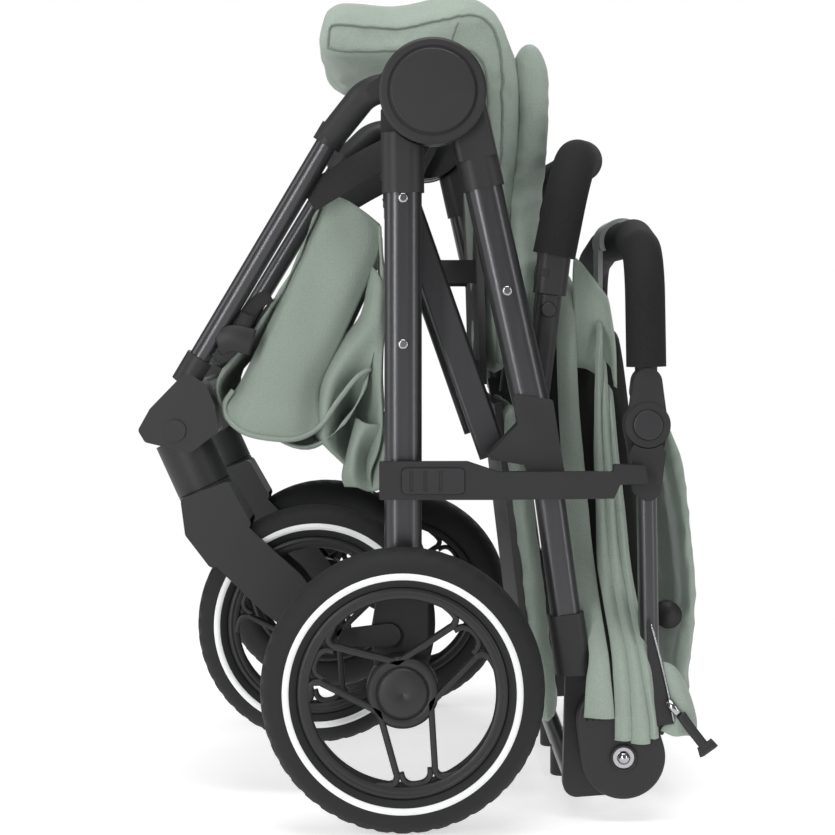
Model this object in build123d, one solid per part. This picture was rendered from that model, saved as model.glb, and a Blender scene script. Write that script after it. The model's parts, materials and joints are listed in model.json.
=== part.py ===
"""Compact all-terrain stroller, folded and standing upright.

Millimetres.  X runs from the front wheels (-) to the handle (+), Y from the
stroller's left side (-) to its right side (+), Z up.  The floor is Z = 0.
Pieces are drawn for the left side and mirrored in the XZ plane.
"""
from build123d import *
from math import atan2, cos, degrees, hypot, radians, sin
import os

# ---------------------------------------------------------------- driving sizes
RUNNING_GAP = 0.3            # between faces of bodies that turn on each other
PIN_FIT = 0.05               # radial clearance of an axle in its wheel

# main folding joint
HUB = (12.4, 580.7)          # X, Z of the main folding axis
HUB_R = 42.6                 # outer housing
HUB_CAP_R = 33.5
HUB_PIN_R = 6.0
CROSS_TUBE_R = 9.0

# distances from the middle plane (stroller half width)
FRONT_PLATE = (196.0, 208.4)
LEG_PLATE = (209.0, 221.7)
BAR_PLATE = (222.3, 235.0)
HOUSING = (235.4, 246.0)
CAP_FACE = 248.5
TUBE_MID = 222.0             # middle of the frame tubes
TUBE_DEPTH = 24.0

# rear leg and rear wheel
LEG_X = -11.0
LEG_RIVET_Z = (496.5, 380.0)
LEG_WIDTH = 30.0
LEG_TOP_Z = 531.0
LEG_END_Z = 168.0
TUBE_WALL = 1.8
REAR_WHEEL_R = 111.0
REAR_WHEEL_X = -11.7
REAR_WHEEL_Y = 265.0
REAR_TYRE_WIDTH = 44.0
REAR_BEAD_R = 81.6
AXLE_R = 5.0
SPOKE_TURNS = (99.5, 219.5, 339.5)   # where the V of each spoke pair meets the hub
SPOKE_SPREAD = 47.3                  # from there to its two feet
REAR_AXLE_END = 12.0          # past the wheel's middle plane
REAR_BRACE = (-11.0, 262.0)

# lower push bar
BAR_TOP = (48.3, 528.0)
BAR_WIDTH = 30.0
BAR_ELBOW = (91.7, 332.5)
CONNECTOR_END = (105.0, 268.0)
THIN_WIDTH = 24.0
THIN_DEPTH = 20.0
THIN_END = (124.5, 124.0)
BUMPER_MOUNT = (100.0, 350.0)

# fold hinge
FOLD = (163.7, 52.3)
FOLD_R = 33.6
FOLD_INNER = (209.0, 221.7)
FOLD_OUTER = (222.3, 238.0)
FOLD_PIN_R = 5.0
STAND_BRACE = (128.0, 26.0)
FOOT_Y = 62.0
FOOT_R = 9.0

# upper push bar and handle
UPPER_FOOT = (186.5, 92.0)
UPPER_WIDTH = 15.0
TILT = (183.8, 315.7)
TILT_R = 18.0
TILT_BUTTON_R = 12.0
HANDLE_R = 9.0
HANDLE_FOAM_R = 16.0
HANDLE_BEND_Z = 452.0
HANDLE_TOP_Z = 469.0
HANDLE_BEND_Y = 118.0
HANDLE_BENDS = [42.0, 60.0, 60.0, 42.0]
TILT_SOCKET_DROP = 48.0     # from the tilt axis down to the end of the upper bar
TILT_PIN_R = 4.0
FOAM_START = 12.2            # bare tube left below the handle's foam

# bumper bar
BUMPER_Y = 190.0
BUMPER_FOAM_R = 17.5
BUMPER_CORE_R = 8.0
BUMPER_FOOT = (112.5, 452.0)
BUMPER_KNEE = (128.0, 530.0)
BUMPER_FRONT = (144.0, 536.0)
BUMPER_FRONT_Y = 96.0
BUMPER_BENDS = [46.0, 46.0, 46.0, 46.0]

# front leg, caster and front wheel
FRONT_COLLAR = (-70.6, 551.5)
FRONT_COLLAR_Y = 158.0
FRONT_FOOT = (-188.0, 356.0)
FRONT_FOOT_Y = 142.0
FRONT_TUBE_R = 9.2
SWIVEL = (-178.7, 258.6)
SWIVEL_DIR = (0.415, -0.910)
SWIVEL_R = 23.3
SOCKET_LENGTH = 46.0
STEM_LENGTH = 26.0
FRONT_WHEEL = (-83.3, 143.3)
FRONT_WHEEL_R = 100.0
FRONT_WHEEL_Y = 130.0
FRONT_TYRE_WIDTH = 38.0
FRONT_BEAD_R = 74.0
FORK_PLATE = 5.0
FORK_GAP = 4.5
FOOT_BAR = (-188.0, 340.0)
SOCKET_SPAN = (109.0, 153.5)

# seat
SEAT_HALF_WIDTH = 140.0
SEAT_RAIL_Y = (174.0, 186.0)
RAIL_WIDTH = 24.0
RAIL_TOP = (-18.5, 522.4)
RAIL_END = (63.6, 288.4)
BACK_HALF_WIDTH = 158.0

# soft goods
BASKET_HALF_WIDTH = 136.0
CANOPY_HALF_WIDTH = 170.0

# transport lock, on the left side only
LOCK_Y = (238.0, 250.0)
LOCK_HINGE_X = -27.0
LOCK_Z = (257.5, 287.5)

NODES = {}


# ---------------------------------------------------------------- helpers
def mirrored(shape):
    """The same piece on the stroller's right side."""
    return shape.mirror(Plane.XZ)


def both(shape):
    return [shape, mirrored(shape)]


def disc(centre, radius, span):
    """A round plate on the left side, between two distances from the middle."""
    x, z = centre
    plane = Plane(origin=(x, -span[0], z), x_dir=(1, 0, 0), z_dir=(0, -1, 0))
    return plane * Cylinder(radius, span[1] - span[0], align=(Align.CENTER, Align.CENTER, Align.MIN))


def through(centre, radius, reach=400.0):
    """A cutter along Y through both sides."""
    x, z = centre
    return Pos(x, 0, z) * Rot(90, 0, 0) * Cylinder(radius, 2 * reach)


def rod(start, end, radius):
    start, end = Vector(*start), Vector(*end)
    along = end - start
    plane = Plane(origin=start, z_dir=along)
    return plane * Cylinder(radius, along.length, align=(Align.CENTER, Align.CENTER, Align.MIN))


def tube(start, end, radius, wall):
    return rod(start, end, radius) - rod(start, end, radius - wall)


def flat_bar(start, end, width, span, corner):
    """A bar in the XZ plane with a rounded section, solid."""
    (x0, z0), (x1, z1) = start, end
    middle = (span[0] + span[1]) / 2
    along = Vector(x1 - x0, 0, z1 - z0)
    plane = Plane(origin=(x0, -middle, z0), x_dir=(0, 1, 0), z_dir=along)
    section = RectangleRounded(span[1] - span[0], width, corner)
    return plane * extrude(section, along.length)


def hollow_bar(start, end, width, span, corner, wall):
    inner = (span[0] + wall, span[1] - wall)
    return (flat_bar(start, end, width, span, corner)
            - flat_bar(start, end, width - 2 * wall, inner, corner - wall))


def plate(points, span, corner=0.0):
    """A flat outline in XZ, given thickness towards the left side."""
    face = make_face(Polyline(*points, close=True))
    if corner:
        face = fillet(face.vertices(), corner)
    return Plane.XZ.offset(span[0]) * extrude(face, span[1] - span[0])


def link(circles, span):
    """A flat link: the tight outline round some circles (x, z, r)."""
    edges = [(Pos(x, z) * Circle(r)).edge() for x, z, r in circles]
    return Plane.XZ.offset(span[0]) * extrude(make_hull(edges), span[1] - span[0])


def bent_rod(points, bends, radius):
    path = FilletPolyline(*points, radius=bends)
    section = Plane(origin=path @ 0, z_dir=path % 0) * Circle(radius)
    return sweep(section, path)


def tube_span(depth=TUBE_DEPTH):
    return (TUBE_MID - depth / 2, TUBE_MID + depth / 2)


def along_swivel(distance, sideways=0.0):
    """A point on the caster's swivel axis, as X, Z."""
    dx, dz = SWIVEL_DIR
    return (SWIVEL[0] + dx * distance + dz * sideways, SWIVEL[1] + dz * distance - dx * sideways)


def point_on(start, end, share):
    return tuple(a + (b - a) * share for a, b in zip(start, end))


# ---------------------------------------------------------------- main joint
def make_hub():
    pin = through(HUB, HUB_PIN_R + RUNNING_GAP)
    cross = rod((HUB[0], -FRONT_PLATE[0] + 0.6, HUB[1]), (HUB[0], FRONT_PLATE[0] - 0.6, HUB[1]),
                CROSS_TUBE_R)
    NODES["hub_cross_tube"] = [cross - through(HUB, HUB_PIN_R)]
    NODES["hub_pivot_pins"] = both(disc(HUB, HUB_PIN_R, (FRONT_PLATE[0] - 26.0, HOUSING[0])))
    housing = disc(HUB, HUB_R, HOUSING)
    housing = chamfer(housing.edges().filter_by(GeomType.CIRCLE).sort_by(Axis.Y)[0], 2.0)
    groove = disc(HUB, HUB_CAP_R + 2.4, (HOUSING[1] - 1.2, HOUSING[1] + 1)) \
        - disc(HUB, HUB_CAP_R + 0.9, (HOUSING[1] - 2, HOUSING[1] + 2))
    NODES["hub_housings"] = both(housing - groove)
    cap = disc(HUB, HUB_CAP_R, (HOUSING[1], CAP_FACE))
    NODES["hub_caps"] = both(fillet(cap.edges().filter_by(GeomType.CIRCLE).sort_by(Axis.Y)[0], 1.2))
    return pin


# ---------------------------------------------------------------- rear frame
def make_rear_frame(pin):
    span = tube_span()
    lip = 3.0
    leg = hollow_bar((LEG_X, LEG_TOP_Z), (LEG_X, LEG_END_Z), LEG_WIDTH, span, 11.0, TUBE_WALL)
    NODES["rear_legs"] = both(leg)

    width = LEG_WIDTH / 2 + lip
    top = (HUB[1] - 12.0)
    neck = plate([(LEG_X - width, top), (LEG_X + width - 3, top), (LEG_X + width - 3, LEG_TOP_Z - 20),
                  (LEG_X - width, LEG_TOP_Z - 20)], (LEG_PLATE[0], LEG_PLATE[1]), 2.0)
    body = flat_bar((LEG_X - 0.5, LEG_TOP_Z + 18), (LEG_X, LEG_TOP_Z - 30), LEG_WIDTH + 4,
                    (span[0] - 1, span[1] + 1), 12.0)
    body -= disc(HUB, HUB_R + 1.0, (0, 400))
    body -= flat_bar((LEG_X, LEG_TOP_Z), (LEG_X, LEG_TOP_Z - 40), LEG_WIDTH, span, 11.0)
    socket = disc(HUB, HUB_R - 0.8, LEG_PLATE) + neck + body - pin
    socket -= flat_bar((LEG_X, LEG_TOP_Z), (LEG_X, LEG_TOP_Z - 60), LEG_WIDTH, span, 11.0)
    NODES["rear_leg_sockets"] = both(socket)

    x, z = REAR_BRACE
    inner = span[0]
    brace = rod((x, -inner, z), (x, inner, z), 8.0)
    NODES["rear_brace"] = [brace]

    hub = (REAR_WHEEL_X, REAR_WHEEL_R)
    housing = link([(hub[0], hub[1], 20.0), (LEG_X, LEG_END_Z + 8, 21.0),
                    (LEG_X - 14, LEG_END_Z - 20, 12.0)],
                   (span[0] - 3, span[1] + 3))
    housing -= flat_bar((LEG_X, LEG_END_Z), (LEG_X, LEG_END_Z + 60), LEG_WIDTH, span, 11.0)
    boss = disc(hub, 15.0, (span[1] + 2, REAR_WHEEL_Y - 15.5))
    axle_hole = through(hub, AXLE_R)
    NODES["axle_housings"] = both(fillet(housing.edges().filter_by(GeomType.CIRCLE).group_by(Axis.Y)[0],
                                         1.5)
                                  + boss - axle_hole)
    NODES["rear_axles"] = both(disc(hub, AXLE_R, (span[0] + 2, REAR_WHEEL_Y + REAR_AXLE_END)))

    rivets = []
    for z in LEG_RIVET_Z:
        button = disc((LEG_X, z), 4.2, (span[1], span[1] + 2.2))
        button = fillet(button.edges().filter_by(GeomType.CIRCLE).sort_by(Axis.Y)[0], 1.8)
        rivets += both(button)
    NODES["rear_leg_rivets"] = rivets


# ---------------------------------------------------------------- brake
def make_brake():
    span = (TUBE_MID + TUBE_DEPTH / 2 + 3.3, TUBE_MID + TUBE_DEPTH / 2 + 8.3)
    pedal = link([(-22.0, 150.0, 9.0), (-54.0, 148.0, 7.0)], span)
    tread = link([(-50.0, 147.0, 6.0), (-60.0, 143.0, 4.0)], (span[0] - 18, span[1]))
    NODES["brake_pedal"] = [pedal + tread]


# ---------------------------------------------------------------- wheels
def wheel_pair(name, centre, distance, radius, bead, width, hub_r, cap_r, spoke_w, inner_hub, outer_hub,
               bore_end):
    """Tyre and spoked rim, drawn with the axle along local Z and the outer face up."""
    x, z = centre
    shoulder = min(0.42 * width, 0.6 * (radius - bead))
    section = Pos((radius + bead) / 2, 0) * Rectangle(radius - bead, width)
    outer = section.vertices().group_by(Axis.X)[-1]
    section = fillet(outer, shoulder)
    section = fillet(section.vertices().group_by(Axis.X)[0], 3.0)
    tyre = revolve(Plane.XZ * section, Axis.Z)

    lip = bead - 6.0
    barrel = Pos((bead + lip) / 2 - 0.1, 0) * Rectangle(bead - lip - 0.2, width - 8.0)
    barrel = fillet(barrel.vertices(), 2.2)
    rim = revolve(Plane.XZ * barrel, Axis.Z)
    hub = Pos(0, 0, -inner_hub) * Cylinder(hub_r, inner_hub + outer_hub,
                                           align=(Align.CENTER, Align.CENTER, Align.MIN))
    hub = chamfer(hub.edges().filter_by(GeomType.CIRCLE), 1.5)
    cap = Pos(0, 0, outer_hub) * Cylinder(cap_r, 2.4, align=(Align.CENTER, Align.CENTER, Align.MIN))
    cap = fillet(cap.edges().filter_by(GeomType.CIRCLE).sort_by(Axis.Z)[-1], 1.4)
    rim += hub + cap
    spoke_depth = 9.0
    spoke_z = outer_hub - 6.0
    reach = lip + 1.5
    for turn in SPOKE_TURNS:
        start = (hub_r * 0.93 * cos(radians(turn)), hub_r * 0.93 * sin(radians(turn)))
        for side in (-SPOKE_SPREAD, SPOKE_SPREAD):
            end = (reach * cos(radians(turn + side)), reach * sin(radians(turn + side)))
            length = hypot(end[0] - start[0], end[1] - start[1])
            tilt = degrees(atan2(end[1] - start[1], end[0] - start[0]))
            spoke = Pos(*start, spoke_z) * Rot(0, 0, tilt) * Box(
                length, spoke_w, spoke_depth, align=(Align.MIN, Align.CENTER, Align.CENTER))
            rim += spoke
        pad_at = reach - 1.5
        for side in (-SPOKE_SPREAD, SPOKE_SPREAD):
            foot = Pos(pad_at * cos(radians(turn + side)), pad_at * sin(radians(turn + side)), spoke_z)
            rim += foot * Cylinder(spoke_w * 0.9, spoke_depth)
    rim -= Pos(0, 0, -inner_hub) * Cylinder(AXLE_R + PIN_FIT, inner_hub + bore_end,
                                            align=(Align.CENTER, Align.CENTER, Align.MIN))
    place = Pos(x, -distance, z) * Rot(90, 0, 0)
    tyre, rim = place * tyre, place * rim
    NODES[name + "_tyre_left"], NODES[name + "_tyre_right"] = [tyre], [mirrored(tyre)]
    NODES[name + "_rim_left"], NODES[name + "_rim_right"] = [rim], [mirrored(rim)]


def make_wheels():
    wheel_pair("rear", (REAR_WHEEL_X, REAR_WHEEL_R), REAR_WHEEL_Y, REAR_WHEEL_R, REAR_BEAD_R,
               REAR_TYRE_WIDTH,
               28.0, 19.5, 4.4, 15.0, 16.0, REAR_AXLE_END + 0.3)
    wheel_pair("front", FRONT_WHEEL, FRONT_WHEEL_Y, FRONT_WHEEL_R, FRONT_BEAD_R, FRONT_TYRE_WIDTH,
               24.0, 16.0, 4.2, 17.0, 15.0, 40.0)


# ---------------------------------------------------------------- lower push bar
def make_lower_bar(pin):
    span = tube_span()
    NODES["lower_push_bars"] = both(hollow_bar(BAR_TOP, BAR_ELBOW, BAR_WIDTH, span, 11.0, TUBE_WALL))

    above = point_on(BAR_TOP, BAR_ELBOW, -0.16)
    below = point_on(BAR_TOP, BAR_ELBOW, 0.12)
    body = flat_bar(above, below, BAR_WIDTH + 4, (span[0] - 1, span[1] + 1), 12.0)
    body -= disc(HUB, HUB_R + 1.0, (0, 400))
    neck = flat_bar(point_on(BAR_TOP, BAR_ELBOW, -0.26), BAR_TOP, BAR_WIDTH + 2, BAR_PLATE, 4.0)
    far = point_on(BAR_TOP, BAR_ELBOW, 0.3)
    slot = flat_bar(BAR_TOP, far, BAR_WIDTH, span, 11.0)
    socket = disc(HUB, HUB_R - 0.8, BAR_PLATE) + neck + body - pin - slot
    NODES["push_bar_sockets"] = both(socket)

    outline = [(76.0, 341.0), (108.0, 336.0), (113.5, 300.0), (120.0, 262.0), (96.0, 257.0),
               (86.0, 284.0),
               (54.0, 289.0), (80.5, 317.0)]
    wedge = plate(outline, (span[0] - 2, span[1] + 2.5), 3.0)
    wedge -= flat_bar(BAR_TOP, BAR_ELBOW, BAR_WIDTH, span, 11.0)
    thin_span = (TUBE_MID - THIN_DEPTH / 2, TUBE_MID + THIN_DEPTH / 2)
    wedge -= flat_bar(CONNECTOR_END, THIN_END, THIN_WIDTH, thin_span, 8.0)
    NODES["bar_connectors"] = both(wedge)
    NODES["lower_thin_bars"] = both(hollow_bar(CONNECTOR_END, THIN_END, THIN_WIDTH, thin_span, 8.0,
                                               TUBE_WALL))

    inner = link([(FOLD[0], FOLD[1], FOLD_R - 1.0), (THIN_END[0] + 4, THIN_END[1] - 2, 9.0),
                  (STAND_BRACE[0], STAND_BRACE[1] + 2, 11.0)], FOLD_INNER)
    sleeve = flat_bar(point_on(CONNECTOR_END, THIN_END, 0.72), point_on(CONNECTOR_END, THIN_END, 1.06),
                      THIN_WIDTH + 5, (FOLD_INNER[0], TUBE_MID + THIN_DEPTH / 2 + 2), 8.0)
    sleeve -= plate([(100, 116), (180, 116), (180, 0), (100, 0)], (FOLD_INNER[1], 300))
    inner = inner + sleeve - flat_bar(CONNECTOR_END, THIN_END, THIN_WIDTH, thin_span, 8.0)
    inner -= through(FOLD, FOLD_PIN_R + RUNNING_GAP)
    NODES["fold_hinge_plates"] = both(inner)

    x, z = STAND_BRACE
    NODES["stand_brace"] = [rod((x, -FOLD_INNER[0], z), (x, FOLD_INNER[0], z), 8.0)]
    foot = Pos(x, -FOOT_Y, 0) * Cylinder(FOOT_R, z, align=(Align.CENTER, Align.CENTER, Align.MIN))
    foot = fillet(foot.edges().filter_by(GeomType.CIRCLE).sort_by(Axis.Z)[0], 2.0)
    foot -= rod((x, -400, z), (x, 400, z), 8.0)
    NODES["stand_feet"] = both(foot)

    button = disc(point_on(BAR_TOP, BAR_ELBOW, 0.54), 4.2, (span[1], span[1] + 2.2))
    button = fillet(button.edges().filter_by(GeomType.CIRCLE).sort_by(Axis.Y)[0], 1.8)
    NODES["push_bar_rivets"] = both(button)


# ---------------------------------------------------------------- bumper bar
def bumper_arm_line(distance):
    """A point on the bumper's straight foot, measured up from the mount."""
    dx, dz = BUMPER_FOOT[0] - BUMPER_MOUNT[0], BUMPER_FOOT[1] - BUMPER_MOUNT[1]
    length = hypot(dx, dz)
    return (BUMPER_MOUNT[0] + dx / length * distance, BUMPER_MOUNT[1] + dz / length * distance)


def make_bumper():
    span = (BUMPER_Y - 11.0, BUMPER_Y + 11.0)
    low, parting = bumper_arm_line(-24.0), bumper_arm_line(70.0)
    lug = flat_bar(low, parting, 20.0, span, 7.0)
    lug += flat_bar(low, bumper_arm_line(-4.0), 16.0, (BUMPER_Y + 5, TUBE_MID - TUBE_DEPTH / 2 - 2.0),
                    4.0)
    bore_from = bumper_arm_line(16.0)
    lug -= flat_bar(bore_from, bumper_arm_line(80.0), 12.6, (BUMPER_Y - 4.3, BUMPER_Y + 4.3), 2.0)
    lug -= disc(bumper_arm_line(58.0), 6.3, (BUMPER_Y + 5, BUMPER_Y + 20))
    NODES["bumper_mounts"] = both(lug)

    button = disc(bumper_arm_line(58.0), 6.0, (BUMPER_Y + 7.5, BUMPER_Y + 13.5))
    button = fillet(button.edges().filter_by(GeomType.CIRCLE).sort_by(Axis.Y)[0], 1.5)
    NODES["bumper_button_left"], NODES["bumper_button_right"] = [button], [mirrored(button)]

    tongue = flat_bar(bumper_arm_line(20.0), bumper_arm_line(72.0), 12.0,
                      (BUMPER_Y - 4.0, BUMPER_Y + 4.0), 2.0)
    shoe = flat_bar(bumper_arm_line(70.6), bumper_arm_line(104.0), 27.0,
                    (BUMPER_Y - 12.0, BUMPER_Y + 12.0), 8.0)
    slot = plate([(96, 442), (108, 440), (107, 434), (95, 436)], (BUMPER_Y + 11.0, BUMPER_Y + 13.0))
    points = [(BUMPER_FOOT[0], -BUMPER_Y, BUMPER_FOOT[1]), (BUMPER_KNEE[0], -BUMPER_Y, BUMPER_KNEE[1]),
              (BUMPER_FRONT[0], -BUMPER_FRONT_Y, BUMPER_FRONT[1])]
    points += [(x, -y, z) for x, y, z in reversed(points)]
    core = bent_rod(points, BUMPER_BENDS, BUMPER_CORE_R)
    foam = bent_rod(points, BUMPER_BENDS, BUMPER_FOAM_R)
    for side_shoe in both(shoe):
        foam -= side_shoe
    NODES["bumper_foam"] = [foam - core]
    left = shoe + tongue - slot
    NODES["bumper_bar"] = [core + left + mirrored(left)]


# ---------------------------------------------------------------- upper push bar and handle
def make_upper_bar():
    span = tube_span(TUBE_DEPTH - 2)
    shell = link([(FOLD[0], FOLD[1], FOLD_R), (FOLD[0] - 6, FOLD[1] + 28, FOLD_R - 2.5)], FOLD_OUTER)
    shell = fillet(shell.edges().group_by(Axis.Y)[0], 2.5)
    slots = [Pos(135.0 + 5.0 * i, -FOLD_OUTER[1], 84.0) * Box(2.0, 3.0, 5.0) for i in range(3)]
    for slot in slots:
        shell -= slot
    neck = flat_bar((UPPER_FOOT[0], FOLD[1] + FOLD_R), (UPPER_FOOT[0] - 0.5, FOLD[1] + FOLD_R + 36),
                    UPPER_WIDTH + 5,
                    (FOLD_INNER[0], FOLD_OUTER[1] - 1), 6.0)
    neck -= disc(FOLD, FOLD_R + 4.0, (0, FOLD_OUTER[0]))
    bridge = plate([(176.0, 70.0), (196.0, 70.0), (196.5, 92.0), (176.5, 92.0)], FOLD_OUTER, 2.0)
    shell = shell + neck + bridge - through(FOLD, FOLD_PIN_R)
    shell -= flat_bar(UPPER_FOOT, (TILT[0], TILT[1] - TILT_SOCKET_DROP), UPPER_WIDTH, span, 6.0)
    NODES["fold_hinge_shells"] = both(shell)
    pin = disc(FOLD, FOLD_PIN_R, (FOLD_INNER[0] - 3, FOLD_OUTER[1] + 2.0))
    head = disc(FOLD, 9.4, (FOLD_OUTER[1], FOLD_OUTER[1] + 2.0))
    head = fillet(head.edges().filter_by(GeomType.CIRCLE).sort_by(Axis.Y)[0], 1.4)
    NODES["fold_hinge_pins"] = both(pin + head)

    tilt_foot = (TILT[0], TILT[1] - TILT_SOCKET_DROP)
    NODES["upper_push_bars"] = both(hollow_bar(UPPER_FOOT, tilt_foot, UPPER_WIDTH, span, 6.0, TUBE_WALL))
    cup = link([(TILT[0], TILT[1] - 24.0, 14.0), (TILT[0], TILT[1] - 50.0, 10.5)],
               (span[0] - 1.5, span[1] + 1.5))
    cup -= disc(TILT, TILT_R + 0.8, (FOLD_INNER[1] - 0.3, 400))
    eye = link([(TILT[0], TILT[1], TILT_R), (TILT[0], TILT[1] - 26.0, 13.0)],
               (span[0] - 1.5, FOLD_INNER[1]))
    joint = cup + eye - flat_bar(UPPER_FOOT, (TILT[0], TILT[1] - TILT_SOCKET_DROP), UPPER_WIDTH, span,
                                 6.0)
    joint -= through(TILT, TILT_PIN_R + RUNNING_GAP)
    NODES["tilt_joint_bodies"] = both(joint)


def make_handle():
    span = tube_span(TUBE_DEPTH - 2)
    head = disc(TILT, TILT_R, (FOLD_INNER[1] + RUNNING_GAP, span[1] + 2.0))
    collar = link([(TILT[0], TILT[1] + 26.0, 12.5), (TILT[0], TILT[1] + 34.0, 11.5)],
                  (span[0] - 1, span[1] + 1))
    neck = link([(TILT[0], TILT[1], TILT_R - 2), (TILT[0], TILT[1] + 26.0, 12.5)],
                (FOLD_INNER[1] + RUNNING_GAP, span[1] + 1))
    collar -= disc(TILT, TILT_R + 1.0, (0, 400))
    pivot = disc(TILT, TILT_PIN_R, (span[0] - 1, FOLD_INNER[1] + 2))
    knuckle = head + collar + neck + pivot
    knuckle -= disc(TILT, TILT_BUTTON_R + RUNNING_GAP, (span[1] - 4.5, 400))
    foot_z = TILT[1] + 34.0
    points = [(TILT[0], -TUBE_MID, foot_z), (TILT[0] - 1.5, -TUBE_MID, HANDLE_BEND_Z),
              (TILT[0] + 2.0, -HANDLE_BEND_Y, HANDLE_TOP_Z)]
    points += [(x, -y, z) for x, y, z in reversed(points)]
    core = bent_rod(points, HANDLE_BENDS, HANDLE_R)
    NODES["handle_bar"] = [core + knuckle + mirrored(knuckle)]
    foam_points = list(points)
    foam_points[0] = (TILT[0], -TUBE_MID, foot_z + FOAM_START)
    foam_points[-1] = (TILT[0], TUBE_MID, foot_z + FOAM_START)
    NODES["handle_foam"] = [bent_rod(foam_points, HANDLE_BENDS, HANDLE_FOAM_R) - core]

    button = disc(TILT, TILT_BUTTON_R, (span[1] - 1.0, span[1] + 4.0))
    button = fillet(button.edges().filter_by(GeomType.CIRCLE).sort_by(Axis.Y)[0], 1.5)
    NODES["tilt_button_left"], NODES["tilt_button_right"] = [button], [mirrored(button)]

    saddle_r = HANDLE_FOAM_R + 0.6
    top = (TILT[0] + 2.0, HANDLE_TOP_Z)
    half = 34.0
    saddle = rod((top[0], -half, top[1]), (top[0], half, top[1]), saddle_r + 4.0)
    saddle -= rod((top[0], -half, top[1]), (top[0], half, top[1]), saddle_r)
    saddle -= Pos(top[0], 0, top[1] - 25.0) * Box(60, 2 * half + 2, 34)
    tongue = Pos(top[0] - saddle_r - 2.0, 0, top[1] - 30.0) * Box(4.0, 2 * half - 24, 62.0)
    NODES["fold_trigger"] = [saddle + tongue]


# ---------------------------------------------------------------- front frame and casters
def make_front_frame(pin):
    middle = sum(FRONT_PLATE) / 2
    plate_part = disc(HUB, HUB_R - 1.6, FRONT_PLATE) - pin
    elbow = bent_rod([(HUB[0] - 26.0, -middle, HUB[1] + 8.0), (HUB[0] - 52.0, -middle + 4, HUB[1] + 5.0),
                      (FRONT_COLLAR[0], -FRONT_COLLAR_Y, FRONT_COLLAR[1])], [30.0], 12.0)
    shoulder = disc((HUB[0] - 30.0, HUB[1] + 6.0), 16.0, (FRONT_PLATE[0] - 6, FRONT_PLATE[1]))
    elbow -= plate([(-100, 500), (100, 500), (100, 700), (-100, 700)], (FRONT_PLATE[1], 260))
    start = Vector(FRONT_COLLAR[0], -FRONT_COLLAR_Y, FRONT_COLLAR[1])
    end = Vector(FRONT_FOOT[0], -FRONT_FOOT_Y, FRONT_FOOT[1])
    lane = (end - start).normalized()
    collar = rod(tuple(start - lane * 8), tuple(start + lane * 8), FRONT_TUBE_R + 3.4)
    grip = rod(tuple(start), tuple(start + lane * 9), FRONT_TUBE_R)
    NODES["front_elbows"] = both(plate_part + (shoulder - pin) + elbow + collar - grip)
    NODES["front_tubes"] = both(tube(tuple(start), tuple(end), FRONT_TUBE_R, TUBE_WALL))

    top = along_swivel(-SOCKET_LENGTH)
    socket = rod((top[0], -FRONT_WHEEL_Y, top[1]), (SWIVEL[0], -FRONT_WHEEL_Y, SWIVEL[1]), SWIVEL_R)
    cowl = plate([(-232.0, 307.0), (-222.0, 325.0), (-191.5, 356.5), (-175.0, 345.0), (-168.0, 328.0),
                  (-164.5, 306.0), (-188.0, 288.0), (-226.0, 297.0)], SOCKET_SPAN, 4.0)
    ferrule = rod(tuple(end + lane * 12), tuple(end - lane * 14), FRONT_TUBE_R + 2.6)
    shroud = socket + cowl + ferrule - rod(tuple(end), tuple(end - lane * 80), FRONT_TUBE_R)
    cap_at = along_swivel(-53.0)
    cap = disc(cap_at, 9.0, (SOCKET_SPAN[1], SOCKET_SPAN[1] + 1.6))
    stem_hole = rod((SWIVEL[0], -FRONT_WHEEL_Y, SWIVEL[1]),
                    (along_swivel(-40.0)[0], -FRONT_WHEEL_Y, along_swivel(-40.0)[1]), 7.0 + RUNNING_GAP)
    NODES["caster_sockets"] = both(shroud + cap - stem_hole)
    x, z = FOOT_BAR
    reach = SOCKET_SPAN[0]
    NODES["front_tubes"].append(rod((x, -reach, z), (x, reach, z), 7.0))


def make_casters():
    mid = FRONT_WHEEL_Y
    inner = FRONT_TYRE_WIDTH / 2 + FORK_GAP
    outer = inner + FORK_PLATE
    start, end = along_swivel(0.6), along_swivel(STEM_LENGTH)
    drum = rod((start[0], -mid, start[1]), (end[0], -mid, end[1]), SWIVEL_R)
    stem_top = along_swivel(-34.0)
    stem = rod((start[0], -mid, start[1]), (stem_top[0], -mid, stem_top[1]), 7.0)
    crown = plate([(-196.0, 250.0), (-157.0, 265.0), (-137.0, 230.0), (-150.0, 199.0), (-170.7, 192.3),
                   (-192.0, 220.0)], (mid - outer, mid + outer), 5.0)
    axle_x, axle_z = FRONT_WHEEL
    arm_outline = [(-153.5, 211.0, 21.0), (-112.0, 172.0, 22.0), (axle_x, axle_z, 16.0)]
    arms = link(arm_outline, (mid + inner, mid + outer)) + link(arm_outline, (mid - outer, mid - inner))
    seat_z = rod((start[0], -mid, start[1]), (along_swivel(-80.0)[0], -mid, along_swivel(-80.0)[1]), 80.0)
    body = crown + arms - seat_z
    body -= disc(FRONT_WHEEL, FRONT_WHEEL_R + 5.0, (mid - inner, mid + inner))
    body = body + (drum - disc(FRONT_WHEEL, FRONT_WHEEL_R + 5.0, (0, 300))) + stem
    body -= disc(FRONT_WHEEL, AXLE_R, (0, 300))
    axle = disc(FRONT_WHEEL, AXLE_R, (mid - outer - 1.5, mid + outer + 1.5))
    for side, turn in (("left", lambda s: s), ("right", mirrored)):
        NODES["caster_fork_" + side] = [turn(body)]
        NODES["front_axle_" + side] = [turn(axle)]


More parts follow.
